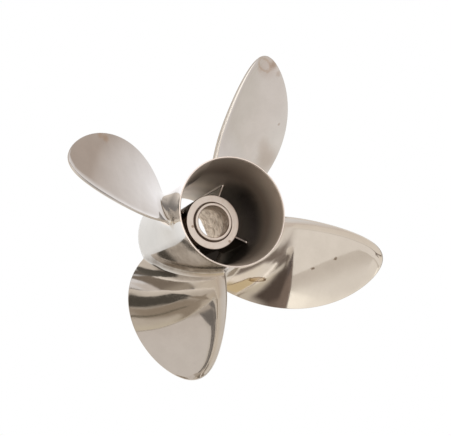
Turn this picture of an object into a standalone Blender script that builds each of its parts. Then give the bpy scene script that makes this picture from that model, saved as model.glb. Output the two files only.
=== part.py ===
"""Four-blade stern-drive propeller with the exhaust through its hub, cast in stainless steel.

The propeller stands on the front rim of its barrel, so +Z points aft along the shaft.
It turns clockwise seen from aft, which is a right-hand propeller.
"""
import math

import bmesh
import bpy
from mathutils import Matrix, Vector

# Blades: reach, pitch, rake and width
TIP_RADIUS = 0.1937
BLADES = 4
BLADE_TURN = 129.2           # degrees from +X to the root of the first blade's mid line
WIDTH_LINEAR = 31.2          # degrees of half width, growing inwards from the tip
WIDTH_SQUARE = 11.4
SKEW = 11.2                  # degrees that the tip lies behind the root
SKEW_POWER = 3.4
PITCH_ROOT = 0.637
PITCH_TIP = 0.754
PITCH_POWER = 4.2
RAKE = 0.731                 # metres aft for each metre outwards
ROOT_HEIGHT = 0.0695         # height of the mid line where it meets the barrel

# Blades: thickness, hollow of the face, cup and root fillet
ROOT_THICKNESS = 0.0125
TIP_THICKNESS = 0.0032
LEADING_THICKNESS = 0.0014
TRAILING_THICKNESS = 0.0022
CAMBER = 0.022               # of the chord
CUP_DEPTH = 0.0035
CUP_WIDTH = 0.015
FILLET = 0.009
FILLET_AT_EDGE = 0.5         # share of the fillet left at the leading edge
FILLET_FADE = 0.25           # share of the chord over which it shrinks to that
LOFT_START = 0.008           # how far the uncut root reaches into the barrel

# Barrel
BARREL_LENGTH = 0.178
BARREL_RADIUS = 0.0568
FLARE_LENGTH = 0.060
RIM_RADIUS = 0.0630
BORE_FRONT_RADIUS = 0.0508
BORE_RIB_RADIUS = 0.0518
BORE_FLARE_LENGTH = 0.080
BORE_RIM_RADIUS = 0.0612
RIM_ROUND = 0.0006
FLARE_POINTS = 8

# Inner hub and the sleeve in its aft end
HUB_FRONT = 0.018
HUB_FACE = 0.113
HUB_FRONT_RADIUS = 0.0310
HUB_FACE_RADIUS = 0.0322
GROOVE_RADIUS = 0.0240
SHAFT_RADIUS = 0.0187
SEAT_DEPTH = 0.0103
SEAT_THICKNESS = 0.0077
SOCKET_FRONT_WIDTH = 0.0510
SOCKET_BACK_WIDTH = 0.0390
SOCKET_FRONT_ROUND = 0.0185
SOCKET_BACK_ROUND = 0.0120
SLEEVE_RADIUS = 0.0224
SLEEVE_FACE = 0.116
CHAMFER = 0.0008

# Ribs between hub and barrel
RIBS = 4
RIB_TURN = 45.0
RIB_THICKNESS = 0.0024

GAP = 0.0003                 # left between pieces
ROUND_STEPS = 72
HUB_STEPS = 56
FACE_POINTS = 13
EDGE_POINTS = 3
FILLET_ROWS = 5
SPAN_ROWS = 17


def clear_scene():
    for item in list(bpy.data.objects):
        bpy.data.objects.remove(item)


def new_collection(name):
    collection = bpy.data.collections.new(name)
    bpy.context.scene.collection.children.link(collection)
    return collection


def steel(name, colour, roughness):
    material = bpy.data.materials.new(name)
    material.use_nodes = True
    shader = material.node_tree.nodes["Principled BSDF"]
    shader.inputs["Base Color"].default_value = (*colour, 1.0)
    shader.inputs["Metallic"].default_value = 1.0
    shader.inputs["Roughness"].default_value = roughness
    return material


def add_object(name, mesh, collection, material=None):
    item = bpy.data.objects.new(name, mesh)
    collection.objects.link(item)
    if material:
        mesh.materials.append(material)
    return item


def as_cutter(item):
    item.hide_render = True
    item.display_type = "WIRE"
    return item


def cut(item, cutter):
    modifier = item.modifiers.new("cut_" + cutter.name, "BOOLEAN")
    modifier.operation = "DIFFERENCE"
    modifier.solver = "EXACT"
    modifier.object = cutter


def turned(name, profile, steps, collection, material=None):
    """A closed profile of (radius, height) points, outer side first and downwards, turned about Z."""
    mesh = bpy.data.meshes.new(name)
    vertices = [(radius, 0.0, height) for radius, height in profile]
    edges = [(i, (i + 1) % len(profile)) for i in range(len(profile))]
    mesh.from_pydata(vertices, edges, [])
    item = add_object(name, mesh, collection, material)
    screw = item.modifiers.new("turn", "SCREW")
    screw.axis = "Z"
    screw.angle = math.tau
    screw.steps = steps
    screw.render_steps = steps
    screw.use_merge_vertices = True
    screw.merge_threshold = 0.00001
    screw.use_smooth_shade = True
    return item


def flare(height, start, start_radius, end_radius):
    """Radius on a parabola that opens from start to the aft rim."""
    share = max(0.0, (height - start) / (BARREL_LENGTH - start))
    return start_radius + (end_radius - start_radius) * share ** 2


def barrel_outer(height):
    return flare(height, BARREL_LENGTH - FLARE_LENGTH, BARREL_RADIUS, RIM_RADIUS)


def barrel_inner(height):
    rib_end = BARREL_LENGTH - BORE_FLARE_LENGTH
    if height > rib_end:
        return flare(height, rib_end, BORE_RIB_RADIUS, BORE_RIM_RADIUS)
    return BORE_FRONT_RADIUS + (BORE_RIB_RADIUS - BORE_FRONT_RADIUS) * height / rib_end


def hub_outer(height):
    share = (height - HUB_FRONT) / (HUB_FACE - HUB_FRONT)
    return HUB_FRONT_RADIUS + (HUB_FACE_RADIUS - HUB_FRONT_RADIUS) * share


def heights(top, bottom, count):
    return [top + (bottom - top) * i / (count - 1) for i in range(count)]


def barrel_profile():
    rim = BARREL_LENGTH - RIM_ROUND
    outer = heights(rim, BARREL_LENGTH - FLARE_LENGTH, FLARE_POINTS)
    inner = heights(BARREL_LENGTH - BORE_FLARE_LENGTH, rim, FLARE_POINTS)
    points = [(RIM_RADIUS - RIM_ROUND, BARREL_LENGTH)]
    points += [(barrel_outer(z), z) for z in outer]
    points += [(BARREL_RADIUS, CHAMFER), (BARREL_RADIUS - CHAMFER, 0.0)]
    points += [(BORE_FRONT_RADIUS + CHAMFER, 0.0), (barrel_inner(CHAMFER), CHAMFER)]
    points += [(barrel_inner(z), z) for z in inner]
    points += [(BORE_RIM_RADIUS + RIM_ROUND / 2, BARREL_LENGTH)]
    return points


def hub_profile():
    seat = HUB_FACE - SEAT_DEPTH
    return [
        (HUB_FACE_RADIUS - CHAMFER, HUB_FACE),
        (HUB_FACE_RADIUS, HUB_FACE - CHAMFER),
        (HUB_FRONT_RADIUS, HUB_FRONT + CHAMFER),
        (HUB_FRONT_RADIUS - CHAMFER, HUB_FRONT),
        (SHAFT_RADIUS, HUB_FRONT),
        (SHAFT_RADIUS, seat),
        (GROOVE_RADIUS, seat),
        (GROOVE_RADIUS, HUB_FACE),
    ]


def sleeve_profile():
    seat = HUB_FACE - SEAT_DEPTH + GAP
    return [
        (SLEEVE_RADIUS - CHAMFER, SLEEVE_FACE),
        (SLEEVE_RADIUS, SLEEVE_FACE - CHAMFER),
        (SLEEVE_RADIUS, seat),
        (SHAFT_RADIUS, seat),
        (SHAFT_RADIUS, SLEEVE_FACE - CHAMFER),
        (SHAFT_RADIUS + CHAMFER, SLEEVE_FACE),
    ]


def rounded_square(width, corner, height):
    """Points of a square with round corners, anticlockwise seen from aft."""
    arc_steps = 8
    points = []
    for quarter in range(4):
        turn = Matrix.Rotation(math.radians(90 * quarter), 3, "Z")
        centre = Vector((width / 2 - corner, width / 2 - corner, height))
        for step in range(arc_steps + 1):
            angle = math.radians(90 * step / arc_steps)
            offset = Vector((math.cos(angle), math.sin(angle), 0.0)) * corner
            points.append(turn @ (centre + offset))
    return points


def loft(name, rings, collection, material=None):
    """A closed body through rings of equally many points, with a flat face at each end."""
    work = bmesh.new()
    rows = [[work.verts.new(point) for point in ring] for ring in rings]
    count = len(rows[0])
    for lower, upper in zip(rows, rows[1:]):
        for i in range(count):
            after = (i + 1) % count
            work.faces.new((lower[i], lower[after], upper[after], upper[i]))
    work.faces.new(reversed(rows[0]))
    work.faces.new(rows[-1])
    bmesh.ops.recalc_face_normals(work, faces=work.faces)
    mesh = bpy.data.meshes.new(name)
    work.to_mesh(mesh)
    work.free()
    mesh.shade_smooth()
    mesh.set_sharp_from_angle(angle=math.radians(35))
    return add_object(name, mesh, collection, material)


def socket_cutter(collection):
    """The tapered square socket for the drive insert, open at the front."""
    margin = 0.001
    back = HUB_FACE - SEAT_DEPTH - SEAT_THICKNESS
    rings = [
        rounded_square(SOCKET_FRONT_WIDTH, SOCKET_FRONT_ROUND, HUB_FRONT - margin),
        rounded_square(SOCKET_BACK_WIDTH, SOCKET_BACK_ROUND, back),
    ]
    return as_cutter(loft("socket_cutter", rings, collection))


def barrel_cutter(collection):
    """What the barrel takes out of a blade root, with the gap to it."""
    margin = 0.01
    zs = heights(BARREL_LENGTH, BARREL_LENGTH - FLARE_LENGTH, FLARE_POINTS)
    profile = [(0.002, BARREL_LENGTH + margin), (RIM_RADIUS + GAP, BARREL_LENGTH + margin)]
    profile += [(barrel_outer(z) + GAP, z) for z in zs]
    profile += [(BARREL_RADIUS + GAP, -margin), (0.002, -margin)]
    return as_cutter(turned("barrel_cutter", profile, ROUND_STEPS, collection))


def blade_station(width):
    """Radius, mid angle, half width in degrees, mid height and pitch where the outline has this width.

    The width parameter runs from 0 at the tip inwards, and the radius falls with its square,
    which gives the round tip.
    """
    share = 1.0 - width ** 2
    radius = TIP_RADIUS * share
    middle = BLADE_TURN + SKEW * share ** SKEW_POWER
    half = width * (WIDTH_LINEAR + WIDTH_SQUARE * width)
    height = ROOT_HEIGHT + RAKE * (radius - BARREL_RADIUS)
    pitch = PITCH_ROOT + (PITCH_TIP - PITCH_ROOT) * share ** PITCH_POWER
    return radius, middle, half, height, pitch


def thickness(radius, share):
    """Blade thickness at a radius and a share of the chord from the leading edge."""
    outwards = min(1.0, max(0.0, (radius - BARREL_RADIUS) / (TIP_RADIUS - BARREL_RADIUS)))
    crown = ROOT_THICKNESS + (TIP_THICKNESS - ROOT_THICKNESS) * outwards ** 0.8
    edge = LEADING_THICKNESS + (TRAILING_THICKNESS - LEADING_THICKNESS) * share
    return edge + (crown - edge) * math.sin(math.pi * share ** 1.1) ** 0.85


def fillet_share(share):
    """The root fillet shrinks towards the leading edge, where the barrel's front rim is close."""
    fade = 1.0 - min(1.0, share / FILLET_FADE)
    return 1.0 - (1.0 - FILLET_AT_EDGE) * fade ** 2


def hollow(chord, share, cup):
    """How far the middle surface lies forward of the straight chord, with the cup at its aft edge."""
    start = 1.0 - min(0.5, CUP_WIDTH / chord)
    if share < start:
        curl = share / start
    else:
        curl = 1.0 - ((share - start) / (1.0 - start)) ** 2
    return CAMBER * chord * 4.0 * share * (1.0 - share) + cup * curl


def blade_ring(width, swell, lift, turn):
    """One closed section of a blade, wrapped round the shaft's axis.

    The swell widens the section for the root fillet. The lift keeps the fillet's rows
    on the flared barrel.
    """
    radius, middle, half, height, pitch = blade_station(width)
    across = 2.0 * math.radians(half) * radius
    up = 2.0 * half / 360.0 * pitch
    chord = max(math.hypot(across, up), TRAILING_THICKNESS)
    outwards = (radius - BARREL_RADIUS) / (TIP_RADIUS - BARREL_RADIUS)
    cup = CUP_DEPTH * min(1.0, max(0.0, outwards * 4.0)) * min(1.0, chord / (4.0 * CUP_WIDTH))
    along = Vector((across, up)).normalized() if chord > TRAILING_THICKNESS else Vector((0.8, 0.6))
    aft = Vector((-along.y, along.x))
    start = Vector((math.radians(middle) * radius, height)) - along * chord / 2.0

    def mean(share):
        inset = LEADING_THICKNESS / 2 * (1 - share) - TRAILING_THICKNESS / 2 * share
        return start + along * (share * chord + inset) - aft * hollow(chord, share, cup)

    def size_at(share):
        return thickness(radius, share) / 2.0 + swell * fillet_share(share)

    def arc(share, first_angle):
        size = size_at(share)
        points = []
        for step in range(1, EDGE_POINTS + 1):
            angle = first_angle + math.pi * step / (EDGE_POINTS + 1)
            points.append(mean(share) + (along * math.cos(angle) + aft * math.sin(angle)) * size)
        return points

    shares = [0.5 - 0.5 * math.cos(math.pi * i / (FACE_POINTS - 1)) for i in range(FACE_POINTS)]
    flat = [mean(share) - aft * size_at(share) for share in shares]
    flat += arc(1.0, -math.pi / 2.0)
    flat += [mean(share) + aft * size_at(share) for share in reversed(shares)]
    flat += arc(0.0, math.pi / 2.0)
    ring = []
    for arc_length, z in flat:
        angle = arc_length / radius + math.radians(turn)
        place = radius + lift * (barrel_outer(z) - BARREL_RADIUS)
        ring.append(Vector((place * math.cos(angle), place * math.sin(angle), z)))
    return ring


def width_at(radius):
    return math.sqrt(1.0 - radius / TIP_RADIUS)


def make_blade(number, cutter, collection, material):
    turn = 360.0 / BLADES * number
    rings = [blade_ring(width_at(BARREL_RADIUS - LOFT_START), FILLET, 1.0, turn)]
    for row in range(FILLET_ROWS):
        angle = math.radians(90.0 * (row + 0.5) / FILLET_ROWS)
        radius = BARREL_RADIUS + FILLET * (1.0 - math.cos(angle))
        swell = FILLET * (1.0 - math.sin(angle))
        rings.append(blade_ring(width_at(radius), swell, 1.0, turn))
    start = width_at(BARREL_RADIUS + FILLET * 1.1)
    for row in range(SPAN_ROWS):
        share = row / (SPAN_ROWS - 1)
        lift = max(0.0, 1.0 - share * 4.0)
        rings.append(blade_ring(start * (1.0 - share), 0.0, lift, turn))
    blade = loft(f"blade_{number + 1}", rings, collection, material)
    cut(blade, cutter)
    return blade


def make_rib(number, collection, material):
    """A flat plate on a line from the hub to the barrel, cut to both walls."""
    bottom = HUB_FRONT
    top = BARREL_LENGTH - BORE_FLARE_LENGTH
    outline = [
        (hub_outer(bottom) + GAP, bottom),
        (barrel_inner(bottom) - GAP, bottom),
        (barrel_inner(top) - GAP, top),
        (hub_outer(top) + GAP, top),
    ]
    name = f"rib_{number + 1}"
    curve = bpy.data.curves.new(name, "CURVE")
    curve.dimensions = "2D"
    curve.fill_mode = "BOTH"
    curve.extrude = RIB_THICKNESS / 2.0
    spline = curve.splines.new("POLY")
    spline.points.add(len(outline) - 1)
    for point, (radius, height) in zip(spline.points, outline):
        point.co = (radius, height, 0.0, 1.0)
    spline.use_cyclic_u = True
    rib = bpy.data.objects.new(name, curve)
    collection.objects.link(rib)
    curve.materials.append(material)
    rib.rotation_euler = (math.radians(90.0), 0.0, math.radians(RIB_TURN + 360.0 / RIBS * number))
    return rib


def build():
    clear_scene()
    parts = new_collection("propeller")
    cutters = new_collection("cutters")
    polished = steel("polished_steel", (0.66, 0.64, 0.61), 0.06)
    satin = steel("satin_steel", (0.52, 0.50, 0.47), 0.35)
    machined = steel("machined_steel", (0.62, 0.57, 0.53), 0.28)

    turned("exhaust_barrel", barrel_profile(), ROUND_STEPS, parts, polished)
    hub = turned("inner_hub", hub_profile(), HUB_STEPS, parts, satin)
    cut(hub, socket_cutter(cutters))
    turned("hub_sleeve", sleeve_profile(), HUB_STEPS, parts, machined)
    root_cutter = barrel_cutter(cutters)
    for number in range(BLADES):
        make_blade(number, root_cutter, parts, polished)
    for number in range(RIBS):
        make_rib(number, parts, satin)


build()
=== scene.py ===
"""Looks of the stern-drive propeller: polished blades and barrel, cast hub and ribs, turned ring faces."""
import math
from collections import namedtuple

import bmesh
import bpy
from mathutils import Matrix, Vector, noise


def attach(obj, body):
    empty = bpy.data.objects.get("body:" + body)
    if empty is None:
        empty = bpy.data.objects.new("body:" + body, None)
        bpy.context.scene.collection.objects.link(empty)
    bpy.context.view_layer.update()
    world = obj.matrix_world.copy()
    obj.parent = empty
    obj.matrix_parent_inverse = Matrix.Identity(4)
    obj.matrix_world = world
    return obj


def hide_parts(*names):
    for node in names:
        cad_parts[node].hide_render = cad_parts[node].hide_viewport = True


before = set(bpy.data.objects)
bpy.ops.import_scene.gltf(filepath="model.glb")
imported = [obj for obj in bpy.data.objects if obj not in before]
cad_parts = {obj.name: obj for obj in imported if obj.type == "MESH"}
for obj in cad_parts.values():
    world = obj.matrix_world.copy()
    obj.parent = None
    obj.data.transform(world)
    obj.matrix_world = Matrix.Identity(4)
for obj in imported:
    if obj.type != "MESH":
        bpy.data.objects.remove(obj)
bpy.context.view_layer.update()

# The blades' design, the same as the solids', in metres and degrees
TIP_RADIUS = 0.1937
BLADES = 4
BLADE_TURN = 129.2
WIDTH_LINEAR = 31.2
WIDTH_SQUARE = 11.4
SKEW = 11.2
SKEW_POWER = 3.4
PITCH_ROOT = 0.637
PITCH_TIP = 0.754
PITCH_POWER = 4.2
RAKE = 0.731
ROOT_HEIGHT = 0.0695
ROOT_THICKNESS = 0.0125
TIP_THICKNESS = 0.0032
THINNING_POWER = 0.8         # how the thickness falls from root to tip
CROWN_SHIFT = 1.1            # where along the chord the blade is thickest
CROWN_POWER = 0.85           # how full the section is
LEADING_THICKNESS = 0.0014
TRAILING_THICKNESS = 0.0022
CAMBER = 0.022
CUP_DEPTH = 0.0035
CUP_WIDTH = 0.015
CUP_GROWTH = 0.25            # share of the span over which the cup grows to its depth
CUP_CHORDS = 4.0             # the cup gets shallower where the chord has fewer cup widths than this
FILLET = 0.009
FILLET_AT_EDGE = 0.5
FILLET_FADE = 0.25
FILLET_SKIRT = 1.06          # width of the ring under the skin, against the fillet's
BLADE_SINK = 0.0001          # depth of that ring
LIFT_FADE = 0.25             # share of the span over which sections stop following the barrel's flare

# The barrel's design
BARREL_LENGTH = 0.178
BARREL_RADIUS = 0.0568
FLARE_LENGTH = 0.060
RIM_RADIUS = 0.0630
RIM_ROUND = 0.0006
BORE_FRONT_RADIUS = 0.0508
BORE_RIB_RADIUS = 0.0518
BORE_FLARE_LENGTH = 0.080
BORE_RIM_RADIUS = 0.0612
CHAMFER = 0.0008
FRONT_ROUND = 0.0003

# The hub, sleeve and ribs
HUB_FRONT = 0.018
HUB_FACE = 0.113
HUB_FRONT_RADIUS = 0.0310
HUB_FACE_RADIUS = 0.0322
FRONT_FACE_RADIUS = 0.0285   # inner radius of the flat ring at the hub's front
GROOVE_RADIUS = 0.0236
GROOVE_DEPTH = 0.0022
SHAFT_RADIUS = 0.0187
SEAT_DEPTH = 0.0103
SEAT_THICKNESS = 0.0077
SOCKET_FRONT_WIDTH = 0.0510
SOCKET_BACK_WIDTH = 0.0390
SOCKET_FRONT_ROUND = 0.0185
SOCKET_BACK_ROUND = 0.0120
SOCKET_BEVEL = 0.0006
SLEEVE_RADIUS = 0.0224
SLEEVE_FACE = 0.116
SLEEVE_ROUND = CHAMFER * 1.2
SLEEVE_GAP = 0.0001
RIBS = 4
RIB_TURN = 45.0
RIB_THICKNESS = 0.0024
RIB_FILLET = 0.0025
RIB_END_SWELL = 0.6          # height of the fillet on the rib's aft edge, against its width
RIB_SINK = 0.0002            # how far the ribs reach into both walls
RIB_SETBACK = 0.0002         # from the hub's front

# The casting's grain in the socket
GRAIN_SCALE = 150.0
GRAIN_DEPTH = 0.0008

# Fineness of the meshes
ROUND_STEPS = 240
FILLET_ROWS = 16
SPAN_ROWS = 96
TIP_ROWS = 6
EDGE_POINTS = 8
FACE_POINTS = 56
EDGE_ZONE = 0.0016           # width of the closely divided strip along a blade's edge
ARC_ROOM = 0.45              # share of a flat that a corner's arc may take up
WIDE_MARGIN = 0.6            # from an arc to the point on the flat, against the arc's size
CLOSE_MARGIN = 0.1
FLARE_ROWS = 40
WALL_ROWS = 24
WALL_ROW_GAP = 0.004         # between the rows of the flare and those of the straight wall
BORE_ROWS = 30
BORE_FLARE_ROWS = 44
BORE_ROW_GAP = 0.002
LIP_STEPS = 8
LIP_INNER_STEPS = 3          # of these, how many belong to the bore
SOCKET_ROWS = 30
RIB_ROWS = 24
RIB_ROW_GAP = 0.002
RIB_END_STEPS = 8
RIB_FILLET_STEPS = 6
RIB_MIDDLE = (0.2, 0.35, 0.5, 0.65, 0.8)

# Angles in degrees at which the shading breaks: on blades and ribs, on the barrel, and on hub and sleeve
PLATE_CREASE = 60.0
BARREL_CREASE = 50.0
HUB_CREASE = 35.0


def heights(start, end, count):
    return [start + (end - start) * i / (count - 1) for i in range(count)]


def flare(height, start, start_radius, end_radius):
    share = max(0.0, (height - start) / (BARREL_LENGTH - start))
    return start_radius + (end_radius - start_radius) * share ** 2


def barrel_outer(height):
    return flare(height, BARREL_LENGTH - FLARE_LENGTH, BARREL_RADIUS, RIM_RADIUS)


def barrel_inner(height):
    rib_end = BARREL_LENGTH - BORE_FLARE_LENGTH
    if height > rib_end:
        return flare(height, rib_end, BORE_RIB_RADIUS, BORE_RIM_RADIUS)
    return BORE_FRONT_RADIUS + (BORE_RIB_RADIUS - BORE_FRONT_RADIUS) * height / rib_end


def hub_outer(height):
    share = (height - HUB_FRONT) / (HUB_FACE - HUB_FRONT)
    return HUB_FRONT_RADIUS + (HUB_FACE_RADIUS - HUB_FRONT_RADIUS) * share


def polar(radius, angle, height):
    return Vector((radius * math.cos(angle), radius * math.sin(angle), height))


# Meshes

def finish_piece(work, name, materials, nodes, crease):
    """Turns a bmesh into a smooth piece that stands for CAD nodes and rides on the one body."""
    bmesh.ops.recalc_face_normals(work, faces=work.faces)
    mesh = bpy.data.meshes.new(name)
    work.to_mesh(mesh)
    work.free()
    mesh.shade_smooth()
    mesh.set_sharp_from_angle(angle=math.radians(crease))
    for material in materials:
        mesh.materials.append(material)
    piece = bpy.data.objects.new(name, mesh)
    bpy.context.scene.collection.objects.link(piece)
    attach(piece, "root")
    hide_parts(*nodes)


def bridge(work, lower, upper):
    """Faces between two closed rings of vertices."""
    faces = []
    for i, corner in enumerate(lower):
        after = (i + 1) % len(lower)
        faces.append(work.faces.new((corner, lower[after], upper[after], upper[i])))
    return faces


def turned_rings(work, profile):
    """Vertices for (radius, height, material index) points that are turned about the shaft's axis."""
    rings = []
    for radius, height, index in profile:
        angles = [math.tau * i / ROUND_STEPS for i in range(ROUND_STEPS)]
        rings.append(([work.verts.new(polar(radius, angle, height)) for angle in angles], index))
    return rings


def skin(work, rings):
    """Faces from each ring to the next, and from the last to the first, in the ring's own material."""
    for i, (ring, index) in enumerate(rings):
        for face in bridge(work, ring, rings[(i + 1) % len(rings)][0]):
            face.material_index = index


def corner_arcs(points, radius, steps):
    """For each corner of a closed profile, a small arc in its place and a point on both flats next to it.

    A corner with too little room for its radius gets a smaller arc, and its two points lie closer.
    """
    arcs = []
    for i, (x, y, index) in enumerate(points):
        here = Vector((x, y))
        before = Vector(points[i - 1][:2]) - here
        after = Vector(points[(i + 1) % len(points)][:2]) - here
        size = min(radius, before.length * ARC_ROOM, after.length * ARC_ROOM)
        margin = CLOSE_MARGIN if size < radius else WIDE_MARGIN
        first = here + before.normalized() * size
        last = here + after.normalized() * size
        spots = [first + (first - here) * margin]
        for step in range(steps + 1):
            t = step / steps
            spots.append(first * (1 - t) ** 2 + here * 2 * t * (1 - t) + last * t ** 2)
        spots.append(last + (last - here) * margin)
        arc = []
        for step, spot in enumerate(spots):
            first_half = step < len(spots) / 2 - 1
            arc.append((spot.x, spot.y, points[i - 1][2] if first_half else index))
        arcs.append(arc)
    return arcs


# Blades

def blade_station(width):
    """Radius, mid angle, half width in degrees, mid height and pitch where the outline has this width."""
    share = 1.0 - width ** 2
    radius = TIP_RADIUS * share
    middle = BLADE_TURN + SKEW * share ** SKEW_POWER
    half = width * (WIDTH_LINEAR + WIDTH_SQUARE * width)
    height = ROOT_HEIGHT + RAKE * (radius - BARREL_RADIUS)
    pitch = PITCH_ROOT + (PITCH_TIP - PITCH_ROOT) * share ** PITCH_POWER
    return radius, middle, half, height, pitch


def width_at(radius):
    return math.sqrt(max(0.0, 1.0 - radius / TIP_RADIUS))


def span_share(radius):
    """0 at the barrel's skin and 1 at the tip."""
    return min(1.0, max(0.0, (radius - BARREL_RADIUS) / (TIP_RADIUS - BARREL_RADIUS)))


def half_thickness(radius, share):
    crown = ROOT_THICKNESS + (TIP_THICKNESS - ROOT_THICKNESS) * span_share(radius) ** THINNING_POWER
    edge = edge_thickness(share)
    return (edge + (crown - edge) * math.sin(math.pi * share ** CROWN_SHIFT) ** CROWN_POWER) / 2.0


def edge_thickness(share):
    return LEADING_THICKNESS + (TRAILING_THICKNESS - LEADING_THICKNESS) * share


def rounding(width, share, reach):
    """Share of the full thickness near the outline, where the edge is a half circle.

    On the outline the square of the width parameter equals the drop in radius from the tip,
    so their difference over its slope is the distance to the outline.
    """
    across = (2.0 * share - 1.0) * width
    slope = math.hypot(1.0 / TIP_RADIUS, 2.0 * across / reach)
    distance = (width ** 2 - across ** 2) / slope
    inside = min(1.0, distance / (edge_thickness(share) / 2.0))
    return math.sqrt(max(0.0, 1.0 - (1.0 - inside) ** 2))


def hollow(chord, share, cup):
    """How far the middle surface lies forward of the straight chord, with the cup at its aft edge."""
    start = 1.0 - min(0.5, CUP_WIDTH / chord)
    if share < start:
        curl = share / start
    else:
        curl = 1.0 - ((share - start) / (1.0 - start)) ** 2
    return CAMBER * chord * 4.0 * share * (1.0 - share) + cup * curl


def chord_shares(chord):
    """Shares of the chord, closest together on the round edges, which take up a quarter each at most."""
    zone = EDGE_ZONE / (chord + 4.0 * EDGE_ZONE)
    ends = [zone * (1.0 - math.cos(math.pi / 2 * i / EDGE_POINTS)) for i in range(EDGE_POINTS)]
    steps = [0.5 - 0.5 * math.cos(math.pi * i / FACE_POINTS) for i in range(FACE_POINTS + 1)]
    middle = [zone + (1.0 - 2.0 * zone) * step for step in steps]
    return ends + middle + [1.0 - end for end in reversed(ends)]


def fillet_share(share):
    """The root fillet shrinks towards the leading edge, where the barrel's front rim is close."""
    fade = 1.0 - min(1.0, share / FILLET_FADE)
    return 1.0 - (1.0 - FILLET_AT_EDGE) * fade ** 2


def widened(flat, shares, swell):
    """A closed flat outline moved outwards along its own normals, less at the leading edge."""
    count = len(flat)
    result = []
    for i, (point, share) in enumerate(zip(flat, shares)):
        run = flat[(i + 1) % count] - flat[i - 1]
        result.append(point + Vector((run.y, -run.x)).normalized() * swell * fillet_share(share))
    return result


def blade_section(width, turn, swell=0.0, lift=0.0, sink=0.0):
    """One closed section of a blade, as a ring of points on a cylinder about the shaft's axis."""
    radius, middle, half, height, pitch = blade_station(width)
    across = 2.0 * math.radians(half) * radius
    up = 2.0 * half / 360.0 * pitch
    chord = math.hypot(across, up)
    along = Vector((across, up)) / chord
    aft = Vector((-along.y, along.x))
    cup = CUP_DEPTH * min(1.0, span_share(radius) / CUP_GROWTH)
    cup *= min(1.0, chord / (CUP_CHORDS * CUP_WIDTH))
    start = Vector((math.radians(middle) * radius, height)) - along * chord / 2.0
    reach = chord / (2.0 * width)
    face = chord_shares(chord)
    back = face[-2:0:-1]

    def point(share, side):
        size = half_thickness(radius, share) * rounding(width, share, reach)
        return start + along * share * chord + aft * (side * size - hollow(chord, share, cup))

    flat = [point(share, -1.0) for share in face]
    flat += [point(share, 1.0) for share in back]
    if swell:
        flat = widened(flat, face + back, swell)
    ring = []
    for arc_length, z in flat:
        place = radius + lift * (barrel_outer(z) - BARREL_RADIUS) - sink
        ring.append(polar(place, arc_length / radius + math.radians(turn), z))
    return ring


def blade_rings(turn):
    """Sections from just under the barrel's skin, up the root fillet and out to the tip."""
    rings = [blade_section(width_at(BARREL_RADIUS), turn, FILLET * FILLET_SKIRT, 1.0, BLADE_SINK)]
    for row in range(FILLET_ROWS):
        angle = math.pi / 2 * row / FILLET_ROWS
        radius = BARREL_RADIUS + FILLET * (1.0 - math.cos(angle))
        rings.append(blade_section(width_at(radius), turn, FILLET * (1.0 - math.sin(angle)), 1.0))
    inner = width_at(BARREL_RADIUS + FILLET)
    edge = math.sqrt((LEADING_THICKNESS + TRAILING_THICKNESS) / 4.0 / TIP_RADIUS)
    for row in range(SPAN_ROWS):
        share = row / SPAN_ROWS
        lift = max(0.0, 1.0 - share / LIFT_FADE)
        rings.append(blade_section(inner + (edge - inner) * share, turn, 0.0, lift))
    for row in range(TIP_ROWS):
        angle = math.pi / 2 * (1.0 - row / TIP_ROWS)
        rings.append(blade_section(edge * math.sqrt(1.0 - math.cos(angle)), turn))
    return rings


def make_blade(number, steel):
    work = bmesh.new()
    turn = 360.0 / BLADES * number
    rows = [[work.verts.new(point) for point in ring] for ring in blade_rings(turn)]
    for lower, upper in zip(rows, rows[1:]):
        bridge(work, lower, upper)
    last = rows[-1]
    tip = work.verts.new(sum((vertex.co for vertex in last), Vector()) / len(last))
    for i, vertex in enumerate(last):
        work.faces.new((vertex, last[(i + 1) % len(last)], tip))
    node = f"blade_{number + 1}"
    finish_piece(work, f"{node}_surface", [steel], [node], PLATE_CREASE)


# Barrel, hub, sleeve and ribs

def make_barrel(polished, satin, turned):
    """The wall down its outside, round the front rim, up the bore and over the aft rim's round lip."""
    outside, inside, edge = range(3)
    rim = BARREL_LENGTH - RIM_ROUND
    flare_start = BARREL_LENGTH - FLARE_LENGTH
    bore_flare_start = BARREL_LENGTH - BORE_FLARE_LENGTH
    wall_start = CHAMFER * 0.9
    outer = [(barrel_outer(z), z, outside) for z in heights(rim, flare_start, FLARE_ROWS)]
    outer += [(BARREL_RADIUS, z, outside) for z in heights(flare_start - WALL_ROW_GAP, CHAMFER, WALL_ROWS)]
    arcs = corner_arcs([
        (BARREL_RADIUS, wall_start, edge),
        (BARREL_RADIUS - CHAMFER, 0.0, edge),
        (BORE_FRONT_RADIUS + CHAMFER, 0.0, edge),
        (barrel_inner(wall_start), wall_start, inside),
    ], FRONT_ROUND, 3)
    front = arcs[1] + arcs[2]
    inner = [(barrel_inner(z), z, inside) for z in heights(CHAMFER, bore_flare_start, BORE_ROWS)]
    for z in heights(bore_flare_start + BORE_ROW_GAP, rim, BORE_FLARE_ROWS):
        inner.append((barrel_inner(z), z, inside))
    lip = []
    middle = (RIM_RADIUS + BORE_RIM_RADIUS) / 2.0
    width = (RIM_RADIUS - BORE_RIM_RADIUS) / 2.0
    for step in range(1, LIP_STEPS):
        angle = math.pi * (1.0 - step / LIP_STEPS)
        spot = (middle + width * math.cos(angle), rim + RIM_ROUND * math.sin(angle))
        lip.append((*spot, inside if step < LIP_INNER_STEPS else edge))
    work = bmesh.new()
    skin(work, turned_rings(work, outer + front + inner + lip))
    materials = [polished, satin, turned]
    finish_piece(work, "barrel_wall", materials, ["exhaust_barrel"], BARREL_CREASE)


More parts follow.
